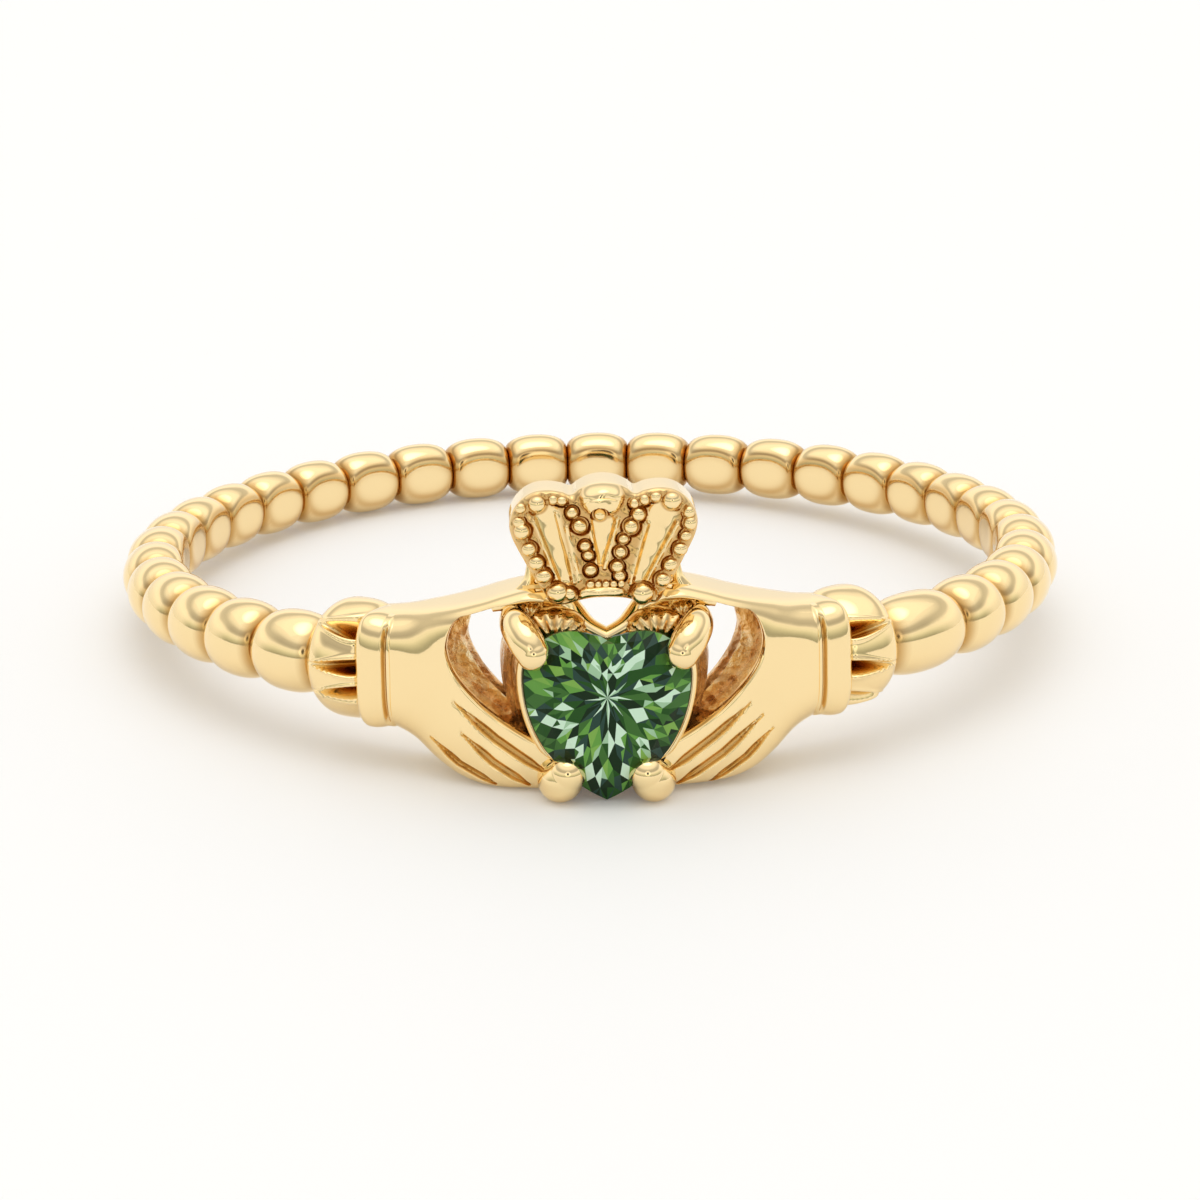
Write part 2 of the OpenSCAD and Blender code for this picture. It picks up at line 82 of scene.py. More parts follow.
class Finish:  # a material, or the world, and the one method that adds nodes to it
    def __init__(self, owner):
        owner.use_nodes = True
        self.owner = owner
        self.tree = owner.node_tree
        self.shader = self.tree.nodes.get("Principled BSDF") or self.tree.nodes.get("Background")

    def add(self, kind, settings=None, inputs=None, output=0):
        node = self.tree.nodes.new(kind)
        for name, value in (settings or {}).items():
            if name == "stops":
                ramp = node.color_ramp
                while len(ramp.elements) < len(value):
                    ramp.elements.new(0.5)
                for element, (place, colour) in zip(ramp.elements, value):
                    element.position = place
                    element.color = (*colour, 1.0)
            else:
                setattr(node, name, value)
        for name, value in (inputs or {}).items():
            self.join(value, node.inputs[name])
        return Wire(self, node.outputs[output])

    def join(self, value, socket):
        if isinstance(value, Wire):
            self.tree.links.new(value.socket, socket)
        else:
            socket.default_value = value

    def mixColour(self, factor, first, second):
        node = self.tree.nodes.new("ShaderNodeMix")
        node.data_type = "RGBA"
        self.join(factor, node.inputs["Factor"])
        for socket, value in zip((node.inputs[6], node.inputs[7]), (first, second)):
            self.join(value if isinstance(value, Wire) else (*value, 1.0), socket)
        return Wire(self, node.outputs[2])

    def set(self, **values):
        for name, value in values.items():
            self.join(value, self.shader.inputs[name.replace("_", " ")])


# deep is the colour that painted shade darkens the gold towards
goldLook = {"colour": (0.97, 0.755, 0.408), "deep": (0.54, 0.28, 0.065), "roughness": 0.05,
            "scratch": 0.04, "paintedShadeRoughness": 0.12, "castRoughness": 0.36,
            "castColour": (0.88, 0.62, 0.36), "castDark": (0.46, 0.24, 0.10),
            "castLight": (0.97, 0.78, 0.52)}


def makeGold():
    finish = Finish(bpy.data.materials.new("polishedGold"))
    place = finish.add("ShaderNodeTexCoord", output=3)
    # painted shade: the attribute darkens the gold towards the deep colour in creases, grooves,
    # pits and hollows, broken up by noise, and makes it a little rougher there
    paintedShadeAmount = finish.add("ShaderNodeAttribute", {"attribute_name": "cavity"}, output=2)
    cloud = finish.add("ShaderNodeTexNoise", {}, {"Vector": place, "Scale": 900.0, "Detail": 3.0})
    wipe = finish.add("ShaderNodeTexNoise", {}, {"Vector": place, "Scale": 5200.0, "Detail": 2.0})
    mask = (paintedShadeAmount * (0.75 + 0.5 * cloud)).clamped(0.0, 1.0)
    finish.set(Base_Color=finish.mixColour(mask, goldLook["colour"], goldLook["deep"]),
               Metallic=1.0,
               Roughness=goldLook["roughness"] + goldLook["scratch"] * cloud
               + goldLook["paintedShadeRoughness"] * mask)
    finish.set(Normal=finish.add("ShaderNodeBump", {}, {
        "Strength": 0.035, "Distance": 0.00002, "Height": wipe + 0.6 * cloud}))
    return finish.owner


def makeCastGold():
    finish = Finish(bpy.data.materials.new("castGold"))
    place = finish.add("ShaderNodeTexCoord", output=3)
    lump = finish.add("ShaderNodeTexNoise", {}, {"Vector": place, "Scale": 2600.0, "Detail": 5.0,
                                                 "Roughness": 0.6})
    pit = finish.add("ShaderNodeTexVoronoi", {}, {"Vector": place, "Scale": 5200.0})
    stops = [(0.3, goldLook["castDark"]), (0.48, goldLook["castColour"]),
             (0.7, goldLook["castLight"])]
    shade = finish.add("ShaderNodeValToRGB", {"stops": stops}, {0: lump})
    finish.set(Base_Color=shade, Metallic=1.0,
               Roughness=goldLook["castRoughness"] - 0.2 * lump)
    finish.set(Normal=finish.add("ShaderNodeBump", {}, {
        "Strength": 0.9, "Distance": 0.00006, "Height": lump + 0.5 * pit}))
    return finish.owner


stoneLook = {"roughness": 0.05, "specular": 0.06, "coat": 0.08}


def makeStoneMaterial():
    finish = Finish(bpy.data.materials.new("greenStone"))
    facet = finish.add("ShaderNodeAttribute", {"attribute_name": "facet"}, output=0)
    finish.set(Base_Color=facet, Roughness=stoneLook["roughness"], IOR=1.75,
               Specular_IOR_Level=stoneLook["specular"],
               Coat_Weight=stoneLook["coat"], Coat_Roughness=0.02)
    return finish.owner


gold = makeGold()
castGold = makeCastGold()
greenStone = makeStoneMaterial()
print("materials made")


# Building blocks

def sheet(bm, across, along, place, cast=None):
    # a grid whose points go to place(u, v), which may also say how much painted shade they get
    layer = bm.verts.layers.float.get("cavity") or bm.verts.layers.float.new("cavity")
    before = set(bm.faces)
    made = bmesh.ops.create_grid(bm, x_segments=across, y_segments=along, size=0.5)["verts"]
    shares = {point: (point.co.x + 0.5, point.co.y + 0.5) for point in made}
    if cast:
        for face in set(bm.faces) - before:
            middle = [sum(shares[p][k] for p in face.verts) / len(face.verts) for k in (0, 1)]
            face.material_index = 1 if cast(*middle) else 0
    for point, (u, v) in shares.items():
        found = place(u, v)
        point.co, point[layer] = found if isinstance(found, tuple) else (found, 0.0)
    return made


def closeUp(bm, gap=0.0004):
    bmesh.ops.remove_doubles(bm, verts=bm.verts[:], dist=gap)
    bmesh.ops.dissolve_degenerate(bm, edges=bm.edges[:], dist=gap * 0.2)
    rims = [edge for edge in bm.edges if edge.is_boundary]
    if rims:
        bmesh.ops.holes_fill(bm, edges=rims, sides=0)
    bmesh.ops.recalc_face_normals(bm, faces=bm.faces[:])


def addPiece(name, bm, materials, node="ring_casting", inSetting=False,
             crease=50, smooth=True):
    if inSetting:
        bm.transform(turned)
    bm.transform(laidDown)
    for face in bm.faces:
        face.smooth = smooth
    if smooth:
        for edge in bm.edges:
            if len(edge.link_faces) == 2 and edge.calc_face_angle(0) > math.radians(crease):
                edge.smooth = False
    mesh = bpy.data.meshes.new(name)
    bm.to_mesh(mesh)
    bm.free()
    for material in materials:
        mesh.materials.append(material)
    piece = bpy.data.objects.new(name, mesh)
    bpy.context.collection.objects.link(piece)
    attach(piece, "root")
    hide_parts(node)
    return piece


def ringPoint(angle, radius, z=0.0):
    # a point at an angle from the head's middle, positive to the right, in degrees
    a = math.radians(angle)
    return Vector((radius * math.sin(a), -radius * math.cos(a), z))


def atDepth(x, z, radius):
    # a point of the front view at a distance from the finger's axis
    return Vector((x, -math.sqrt(max(0.0, radius * radius - x * x)), z))


def floorBelow(radius):
    # height of the floor under the head, before the ring is laid down
    tilt = math.radians(rest["tilt"])
    return -(rest["lift"] + radius * math.sin(tilt)) / math.cos(tilt)


def keptOffFinger(point):
    # pushes a point out to the bore where it lies inside the finger's room
    r = math.hypot(point.x, point.y)
    if r < fingerRadius:
        point.x *= fingerRadius / r
        point.y *= fingerRadius / r
    return point


def softlyKept(point, blend=0.06):
    # the same, with a soft edge where the flat inside begins
    r = math.hypot(point.x, point.y)
    if r < fingerRadius + 6 * blend:
        kept = fingerRadius + blend * math.log(1 + math.exp((r - fingerRadius) / blend))
        point.x *= kept / r
        point.y *= kept / r
    return point


def between(low, high, share):
    return low + (high - low) * share


def eased(share):
    share = min(1.0, max(0.0, share))
    return share * share * (3 - 2 * share)


def along(points, share, closed=False):
    # a place on a smooth line through points, by even steps from point to point
    n = len(points)
    last = n if closed else n - 1
    place = min(max(share, 0.0), 1.0) * last
    i = min(int(place), last - 1)
    t = place - i

    def pick(k):
        if closed:
            return Vector(points[k % n])
        if k < 0:
            return 2 * Vector(points[0]) - Vector(points[1])
        return Vector(points[k]) if k < n else 2 * Vector(points[-1]) - Vector(points[-2])

    p0, p1, p2, p3 = (pick(k) for k in (i - 1, i, i + 1, i + 2))
    return (2 * p1 + (p2 - p0) * t + (2 * p0 - 5 * p1 + 4 * p2 - p3) * t ** 2
            + (3 * p1 - p0 - 3 * p2 + p3) * t ** 3) / 2


def fromTable(rows, key, column):
    # a value between the rows of a table that is sorted by its first column, smoothed
    key = min(max(key, rows[0][0]), rows[-1][0])
    i = max(k for k in range(len(rows) - 1) if rows[k][0] <= key)
    low, high = rows[i], rows[i + 1]
    width = high[0] - low[0]

    def slope(k):
        a, b = rows[max(k - 1, 0)], rows[min(k + 1, len(rows) - 1)]
        return (b[column] - a[column]) / (b[0] - a[0]) * width

    t = (key - low[0]) / width
    return (low[column] * (2 * t ** 3 - 3 * t ** 2 + 1) + slope(i) * (t ** 3 - 2 * t ** 2 + t)
            + high[column] * (3 * t ** 2 - 2 * t ** 3) + slope(i + 1) * (t ** 3 - t ** 2))


def offLine(x, z, start, end):
    # how far along a line a point lies, as a share, and its distance from the line
    dx, dz = end[0] - start[0], end[1] - start[1]
    share = ((x - start[0]) * dx + (z - start[1]) * dz) / (dx * dx + dz * dz)
    kept = min(max(share, 0.0), 1.0)
    return share, math.hypot(x - start[0] - kept * dx, z - start[1] - kept * dz)


def tube(bm, path, radii, sides=32, steps=36, paintedSideShade=None):
    # a rod along a line of points that ends in a rounded tip, with painted shade where its shading
    # function says so
    domeFrom = 0.7

    def place(u, v):
        share = min(1.0, v / domeFrom)
        centre = along(path, share)
        ahead = (along(path, min(1.0, share + 0.01)) - along(path, max(0.0, share - 0.01)))
        ahead.normalize()
        side = ahead.cross(Vector((0, 0.3, 1))).normalized()
        r = along([(value, 0) for value in radii], share)[0]
        if v > domeFrom:
            turn = (v - domeFrom) / (1 - domeFrom) * math.pi / 2
            centre += ahead * r * math.sin(turn)
            r *= math.cos(turn)
        t = 2 * math.pi * u
        point = centre + side * r * math.cos(t) + side.cross(ahead) * r * math.sin(t)
        return point, paintedSideShade(math.cos(t), v) if paintedSideShade else 0.0

    sheet(bm, sides, steps, place)


# Beaded band

band = {"frontDiameter": 1.72, "backDiameter": 1.43, "taper": 4, "flatHalf": 0.45, "beads": 30,
        "leftEnd": 9.45, "rightEnd": 12.75, "cuffAngle": 35.2, "neck": 0.52,
        "barrel": 2.35, "crease": 0.65, "creaseEnd": 0.98, "creaseShade": 0.95,
        "edgeWidth": 0.07, "edgeShade": 0.6, "sides": 80, "rows": 26}


def beadRadius(angle):
    far = (180 - min(angle, 360 - angle)) / (180 - band["cuffAngle"])
    return between(band["backDiameter"], band["frontDiameter"], far ** band["taper"]) / 2


def beadRing(angle):
    return fingerRadius + math.sqrt(beadRadius(angle) ** 2 - band["flatHalf"] ** 2)


def makeBand():
    equal = (360 - 2 * band["cuffAngle"] - band["leftEnd"] - band["rightEnd"]) / band["beads"]
    arcs = [band["rightEnd"]] + [equal] * band["beads"] + [band["leftEnd"]]
    starts = [band["cuffAngle"]]
    for arc in arcs:
        starts.append(starts[-1] + arc)
    count, rows, sides = len(arcs), band["rows"], band["sides"]

    def place(u, v):
        step = round(v * count * rows)
        i = min(step // rows, count - 1)
        middle = starts[i] + arcs[i] / 2
        share = -math.cos(math.pi * (step - i * rows) / rows)
        angle = middle + share * arcs[i] / 2
        r, centre = beadRadius(middle), beadRing(middle)
        if abs(share) > 0.999:
            r, centre = beadRadius(angle), beadRing(angle)
        bulge = math.sqrt(max(0.0, 1 - abs(share) ** band["barrel"]))
        r *= band["neck"] + (1 - band["neck"]) * bulge
        t = 2 * math.pi * u
        point = ringPoint(angle, centre + r * math.cos(t), r * math.sin(t))
        # painted shade darkens the creases between beads, and a painted dark reflection runs along
        # the inner edge
        toEdge = (math.hypot(point.x, point.y) - fingerRadius) / band["edgeWidth"]
        crease = eased((abs(share) - band["crease"]) / (band["creaseEnd"] - band["crease"]))
        shade = max(band["creaseShade"] * crease, band["edgeShade"] * math.exp(-toEdge ** 2))
        return softlyKept(point), shade

    bm = bmesh.new()
    sheet(bm, sides, count * rows, place)
    closeUp(bm)
    addPiece("beadedBand", bm, [gold], crease=55)


makeBand()
print("band made")


# Cuffs

cuff = {"outer": 35.3, "sleeve": 28.2, "wrist": 24.6, "ruffleRadius": 1.22, "ruffleCentre": 9.37,
        "barrel": 2.4, "neck": 0.62, "mouth": 0.155, "tail": 0.035, "slotDepth": 0.62,
        "dent": 0.06, "lip": 0.035, "left": (0.81, 0.10, -0.45), "right": (0.59, -0.18, -0.85),
        "sleeveFront": 10.54, "sleeveHalf": 1.17, "soft": 0.58, "taper": 0.06,
        "edge": 0.24, "bulge": 0.05, "bulgeLength": 0.62, "sink": 0.05, "overlap": (0.3, 0.8),
        "grooveWidth": 0.06, "grooveDepth": 0.10, "grooveShade": 0.8}


def makeRuffle(side, name):
    slots = cuff["right"] if side > 0 else cuff["left"]

    def place(u, v):
        angle = side * between(cuff["outer"], cuff["sleeve"] - 0.15, v)
        share = abs(2 * v - 1)
        r = cuff["ruffleRadius"] * (cuff["neck"] + (1 - cuff["neck"])
                                    * math.sqrt(max(0.0, 1 - share ** cuff["barrel"])))
        if v > 0.5:
            r = between(r, cuff["ruffleRadius"], 0.55)
        t = 2 * math.pi * u
        z, outward = r * math.sin(t), math.cos(t)
        deep = lip = 0.0
        for middle in slots:
            # each slot is a dark mouth at the sleeve that narrows towards the band
            width = between(cuff["tail"], cuff["mouth"], eased(v * 1.15 - 0.1))
            off = abs(z - middle * (1.1 - 0.1 * v)) / width
            if outward > 0 and off < 2:
                slot = cuff["slotDepth"] * eased(v * 1.5 - 0.35) * eased(1.25 - off * 1.05)
                dent = cuff["dent"] * eased(v * 3) * eased(1.3 - off)
                deep = max(deep, slot + dent)
                lip = max(lip, cuff["lip"] * eased(v * 2) * math.exp(-((off - 1.35) / 0.3) ** 2))
        r += (lip - deep) * min(1.0, r / cuff["ruffleRadius"])
        point = ringPoint(angle, cuff["ruffleCentre"] + r * math.cos(t), r * math.sin(t))
        # painted shade darkens the slots by their depth
        return keptOffFinger(point), min(1.0, max(0.0, deep * 3.2 - 0.15))

    bm = bmesh.new()
    sheet(bm, 320, 56, place)
    closeUp(bm)
    addPiece(name, bm, [gold], crease=80)


def makeSleeve(side, name):
    middle = (fingerRadius + cuff["sleeveFront"]) / 2
    depth = cuff["sleeveFront"] - middle
    start, end = cuff["sleeve"] + cuff["overlap"][0], cuff["wrist"] - cuff["overlap"][1]

    def place(u, v):
        a = between(start, end, v)
        toEnd = math.radians(start - a) * cuff["sleeveFront"]
        short = max(0.0, 1 - toEnd / cuff["edge"])
        less = cuff["edge"] * (1 - math.sqrt(1 - short ** 2))
        toGroove = abs(math.radians(a - cuff["wrist"])) * cuff["sleeveFront"]
        t = 2 * math.pi * u
        out = math.copysign(abs(math.cos(t)) ** cuff["soft"], math.cos(t))
        up = math.copysign(abs(math.sin(t)) ** cuff["soft"], math.sin(t))
        fade = eased((0.94 - abs(up)) * 5) if out > 0 else 0.0
        groove = cuff["grooveDepth"] * max(0.0, 1 - (toGroove / cuff["grooveWidth"]) ** 2) * fade
        bulge = cuff["bulge"] * math.sin(math.pi * min(1.0, toEnd / cuff["bulgeLength"]))
        less += groove - bulge + cuff["sink"] * eased((cuff["wrist"] - 0.15 - a) / 0.5)
        half = (cuff["sleeveHalf"] - less) * (1 - cuff["taper"] * (1 - out) / 2)
        point = ringPoint(side * a, middle + (depth - less) * out, half * up)
        return keptOffFinger(point), cuff["grooveShade"] * groove / cuff["grooveDepth"]

    bm = bmesh.new()
    sheet(bm, 144, 72, place)
    closeUp(bm)
    addPiece(name, bm, [gold], crease=70)


for side, word in ((1, "right"), (-1, "left")):
    makeRuffle(side, word + "Ruffle")
    makeSleeve(side, word + "Sleeve")
print("cuffs made")


# Hands: in the front view a C round the opening, from the thumb over the palm to the fingers

hand = {"wristHalf": 1.12, "thumbHeight": 1.91, "fingerDepth": 2.16, "wristFront": 10.5,
        "stoneFront": 10.85, "startAngle": 24.25, "endAngle": 5.0, "inner": 9.35,
        "thumbSoft": 0.62, "thumbTipSoft": 0.24, "fingerSoft": 0.25, "openReach": 3.09,
        "openTop": 1.6, "thumbEnd": 1.02, "fingerEnd": 0.93, "tipRound": 0.22,
        "tipMiddle": (1.77, 10.4), "backDrop": 0.26,
        "openBottom": -1.25, "backReach": 2.7, "backBottom": -1.25, "backTop": 1.75, "ledge": 9.75,
        "grooveDepth": 0.12, "grooveShade": 0.85, "rows": 360, "front": 104, "edgeRound": 0.12,
        "wristRound": 0.09, "wave": 0.02, "corners": (0.28, 0.48), "thumbRim": 0.16,
        "fingerRim": 0.2, "hollowShade": 0.6}
# share of the way from wrist to tips, rise to the thumb, drop to the fingers, step forward
handRows = [(0.00, 0.00, 0.00, 0.00), (0.10, 0.07, 0.08, 0.10), (0.20, 0.15, 0.24, 0.22),
            (0.32, 0.29, 0.57, 0.36), (0.45, 0.45, 0.84, 0.50), (0.58, 0.63, 0.97, 0.64),
            (0.70, 0.82, 1.00, 0.76), (0.82, 0.97, 1.00, 0.88), (0.92, 1.00, 1.00, 0.95),
            (1.00, 1.00, 0.92, 1.00)]
openingRows = [(0.41, 1.03), (0.60, 1.01), (0.79, 0.965), (0.94, 0.88), (1.0, 0.73),
               (0.985, 0.585), (0.91, 0.44), (0.77, 0.285), (0.60, 0.15), (0.40, 0.04)]
# fingers' grooves: start, middle, end and half width
fingerGrooves = {
    1: [((2.86, -0.52), (2.10, -1.12), (1.22, -1.72), 0.062),
        ((3.10, -0.80), (2.28, -1.48), (1.38, -2.04), 0.066),
        ((3.30, -1.10), (2.75, -1.62), (2.02, -2.10), 0.055)],
    -1: [((3.02, -0.36), (2.20, -1.06), (1.20, -1.74), 0.066),
         ((2.88, -0.98), (2.26, -1.54), (1.56, -2.00), 0.062),
         ((3.48, -1.14), (2.92, -1.64), (2.22, -2.02), 0.055)]}


def handEdges(x):
    # how high the thumb, how low the fingers and how far forward the hand is at a place
    a = math.degrees(math.asin(min(1.0, x / hand["stoneFront"])))
    share = (hand["startAngle"] - a) / (hand["startAngle"] - hand["endAngle"])
    half = hand["wristHalf"]
    return (between(half, hand["thumbHeight"], fromTable(handRows, share, 1)),
            between(half, hand["fingerDepth"], fromTable(handRows, share, 2)),
            between(hand["wristFront"], hand["stoneFront"], fromTable(handRows, share, 3)),
            fromTable(handRows, share, 2))


def handFront(x, z, side):
    # distance of the hand's front from the finger's axis, and the painted shade of the groove it
    # lies in, by how deep it lies there
    high, low, front, drop = handEdges(x)
    limit = high if z > 0 else low
    soft = between(hand["thumbSoft"], hand["thumbTipSoft" if z > 0 else "fingerSoft"], drop)
    curl = max(0.0, 1 - min(1.0, abs(z) / limit) ** (2 / soft)) ** (soft / 2)
    radius = hand["inner"] + (front - hand["inner"]) * curl
    deep = 0.0
    for start, middle, end, width in fingerGrooves[side]:
        (first, offFirst), (second, offSecond) = (offLine(x, z, start, middle),
                                                  offLine(x, z, middle, end))
        near = offFirst < offSecond
        share = 0.5 * min(max(first, 0.0), 1.0) if near else 0.5 + 0.5 * min(max(second, 0.0), 1.0)
        grown = width * (0.25 + 0.75 * eased(share * 2.5)) * (0.4 + 0.6 * eased((1 - share) * 5))
        off = min(offFirst, offSecond) / grown
        if off < 1.8:
            deep = max(deep, eased((1.8 - off) * 0.72) * min(1.0, 0.35 + share * 2.2))
    radius += hand["wave"] * math.sin(4.2 * x + side) * math.sin(3.1 * z + 1.3) * curl
    turnLeft = math.radians(hand["startAngle"]) - math.asin(min(1.0, x / hand["wristFront"]))
    toWrist = turnLeft * hand["wristFront"]
    radius -= hand["wristRound"] * max(0.0, 1 - toWrist / hand["wristRound"]) ** 2
    return radius - hand["grooveDepth"] * deep, hand["grooveShade"] * deep ** 1.5


def makeHand(side, name):
    reach = hand["openReach"]
    wristX = hand["wristFront"] * math.sin(math.radians(hand["startAngle"]))
    corner = hand["corners"]
    rows, front = hand["rows"], hand["front"]
    wall, back, step, ledge, rise = 6, 6, 14, 3, 8
    total = front + wall + back + step + ledge + rise

    def outer(v):
        if v < corner[0]:
            x = between(hand["thumbEnd"], wristX, v / corner[0])
            return x, handEdges(x)[0]
        if v > corner[1]:
            x = between(wristX, hand["fingerEnd"], (v - corner[1]) / (1 - corner[1]))
            return x, -handEdges(x)[1]
        share = (v - corner[0]) / (corner[1] - corner[0])
        return wristX, hand["wristHalf"] * (1 - 2 * share)

    def inner(v, width, low, high):
        share = along(openingRows, v)
        return share[0] * width, between(low, high, share[1])

    def place(u, v):
        k = round(u * total)
        xo, zo = outer(v)
        xi, zi = inner(v, reach, hand["openBottom"], hand["openTop"])
        xb, zb = inner(v, hand["backReach"], hand["backBottom"], hand["backTop"])
        zb = min(zb, hand["openTop"] - 0.2)
        drop = hand["backDrop"] / handEdges(xo)[0 if zo > 0 else 1]
        rough = 0.035 * math.sin(14 * v + 3 * side) + 0.02 * math.sin(33 * v)
        high, low = handEdges(xi)[:2]
        zi = min(max(zi, hand["fingerRim"] - low), high - hand["thumbRim"])
        if k <= front:
            e = 1 - (1 - k / front) ** 2.4
            x, z = between(xi, xo, e), between(zi, zo, e)
            radius, deep = handFront(x, z, side)
            toEdge = math.hypot(x - xi, z - zi)
            radius -= hand["edgeRound"] * max(0.0, 1 - toEdge / hand["edgeRound"]) ** 2
        elif k <= front + wall:
            turn = (k - front) / wall * math.pi / 2
            x, deep = xo, 0.0
            z = zo * (1 - drop * (1 - math.cos(turn)))
            radius = between(hand["inner"], fingerRadius, math.sin(turn))
        elif k <= front + wall + back:
            share = (k - front - wall) / back
            x, z, deep = between(xo, xb, share), between(zo * (1 - drop), zb, share), 0.0
            radius = fingerRadius
        # painted shade in the hollow of the opening, which fades out up its polished rise
        elif k <= front + wall + back + step:
            share = (k - front - wall - back) / step
            ridge = 0.05 * math.sin(3 * math.pi * share)
            x, z, deep = xb - rough * share + ridge, zb - ridge, hand["hollowShade"]
            radius = between(fingerRadius, hand["ledge"] + rough, share)
        elif k <= front + wall + back + step + ledge:
            share = (k - front - wall - back - step) / ledge
            x, z = between(xb - rough, xi, share), between(zb, zi, share)
            deep = hand["hollowShade"]
            radius = hand["ledge"] + rough * (1 - share)
        else:
            share = (k - front - wall - back - step - ledge) / rise
            x, z, deep = xi, zi, hand["hollowShade"] * (1 - share)
            radius = between(hand["ledge"], handFront(xi, zi, side)[0] - hand["edgeRound"], share)
        toTip = (x - hand["thumbEnd"]) / hand["tipRound"]
        if z > 0 and toTip < 1:
            size = math.sqrt(max(0.0, 1 - (1 - max(0.0, toTip)) ** 2)) * 0.98 + 0.02
            z = between(hand["tipMiddle"][0], z, size)
            radius = between(hand["tipMiddle"][1], radius, size)
            deep *= eased(toTip)
        point = atDepth(x, z, radius)
        z = max(z, floorBelow(-point.y) + 0.02)
        return Vector((side * point.x, point.y, z)), deep

    def cast(u, v):
        inHollow = front + wall + back < u * total < front + wall + back + step + ledge + 1
        return inHollow and v > 0.035

    bm = bmesh.new()
    sheet(bm, total, rows, place, cast)
    closeUp(bm)
    addPiece(name, bm, [gold, castGold], crease=50)


makeHand(1, "rightHand")
makeHand(-1, "leftHand")
print("hands made")


# Setting: heart-shaped basket, claws and the bridge to the crown

heart = {"width": 3.26, "tail": 2.49, "lobe": 0.93, "height": 0.29, "girdle": 11.05,
         "crownHeight": 0.42, "gap": 0.04, "rim": 0.2, "wall": 0.42, "basketBack": 8.7,
         "starHeight": -0.30, "notchFill": 0.13, "notchWidth": 0.2}
halfWidth = heart["width"] / 2
lobeX = halfWidth - heart["lobe"]
sideRadius = (halfWidth ** 2 + heart["tail"] ** 2) / heart["width"]
sideX = sideRadius - halfWidth


def heartPoint(share, grow=0.0):
    # a point of the heart's outline, from the notch down the right side to the tip and back
    mirror = -1 if share > 0.5 else 1
    share = 2 * (1 - share if share > 0.5 else share)
    lobe, flank = heart["lobe"] + grow, sideRadius + grow
    notch, tip = math.acos(-lobeX / lobe), math.acos(sideX / flank)
    place = share * (lobe * notch + flank * tip)
    if place < lobe * notch:
        t = notch - place / lobe
        x = lobeX + lobe * math.cos(t)
        fill = heart["notchFill"] * math.exp(-(x / heart["notchWidth"]) ** 2)
        return mirror * x, lobe * math.sin(t) + fill
    t = -(place - lobe * notch) / flank
    return mirror * (flank * math.cos(t) - sideX), flank * math.sin(t)


def makeBasket():
    # the wall's section: growth of the outline and distance from the finger's axis
    gap, outside = heart["gap"], heart["gap"] + heart["rim"]
    seat = heart["girdle"] - 0.6
    section = [(outside + 0.06, heart["basketBack"]), (outside + 0.2, 9.2),
               (outside + 0.14, 9.9), (outside - 0.03, 10.4), (gap + 0.12, 10.72),
               (gap + 0.10, 10.88), (gap + 0.06, 10.96), (gap + 0.02, 10.985),
               (gap, 10.97), (gap, 10.88), (gap - 0.12, 10.72), (outside - heart["wall"], seat),
               (outside - heart["wall"], 9.8), (outside - heart["wall"], heart["basketBack"])]

    def place(u, v):
        grow, radius = along(section, v, closed=True)
        sunk = eased((heartPoint(u, grow)[1] - 0.35) / 0.3)
        grow = between(grow, min(grow, -0.1), sunk)
        x, z = heartPoint(u, grow)
        low = eased((-z - 1.5) / 0.5)
        if z < -1.5 and grow > -0.02:
            x, z = heartPoint(u, between(grow, -0.02, low))
            radius = min(radius, between(radius, heart["girdle"] - 0.16, low))
        radius = max(radius, between(radius, heart["girdle"] - 0.62, sunk))
        radius = min(radius, between(11.2, heart["girdle"] - 0.42, sunk))
        z = max(z + heart["height"], floorBelow(radius) + 0.02)
        # painted shade where the basket sinks under the crown and on its wall behind the rim
        return Vector((x, -radius, z)), max(0.8 * sunk, 0.6 * eased((10.8 - radius) / 0.3))

    bm = bmesh.new()
    sheet(bm, 160, 56, place, cast=lambda u, v: v > 0.72 or v < 0.19)
    closeUp(bm)
    addPiece("basket", bm, [gold, castGold], inSetting=True, crease=60)


claw = {"upper": [(1.78, -9.7, 1.16), (1.78, -10.4, 1.24), (1.72, -10.9, 1.22),
                  (1.58, -11.20, 1.05), (1.44, -11.33, 0.84)],
        "upperRadii": (0.30, 0.32, 0.34, 0.35, 0.33),
        "lower": [(0.98, -9.5, -1.45), (0.98, -10.4, -1.70), (0.96, -10.85, -1.83),
                  (0.89, -11.06, -1.80), (0.78, -11.18, -1.63)],
        "lowerRadii": (0.30, 0.36, 0.41, 0.42, 0.37)}


def makeClaws():
    bm = bmesh.new()
    for side in (1, -1):
        for path, radii in ((claw["upper"], claw["upperRadii"]),
                            (claw["lower"], claw["lowerRadii"])):
            # painted shade on the claws
            def paintedSideShade(around, v):  # the side that looks at the stone is darker
                return 0.75 * eased((side * around - 0.1) / 0.7) * eased((0.82 - v) * 5)

            tube(bm, [(side * x, y, z) for x, y, z in path], radii, 48, 60, paintedSideShade)
    closeUp(bm)
    addPiece("claws", bm, [gold], inSetting=True)


bridge = {"path": [(1.60, -10.0, 1.66), (1.15, -10.02, 1.70), (0.84, -10.05, 1.56),
                   (0.62, -10.12, 1.35), (0.36, -10.32, 1.12), (0.0, -10.5, 0.94)],
          "radii": (0.28, 0.28, 0.27, 0.23, 0.20, 0.20),
          "web": [(2.2, -9.9, 1.46), (1.85, -9.95, 1.58), (1.62, -10.0, 1.74), (1.46, -10.0, 2.02),
                  (1.44, -10.0, 2.38)],
          "webRadii": (0.10, 0.16, 0.17, 0.12, 0.05), "ribs": 22, "ribHeight": 0.045,
          "mounds": [((1.02, -10.34, 1.10), (0.68, 0.44, 0.44)),
                     ((1.50, -10.16, 1.42), (0.32, 0.30, 0.24))]}


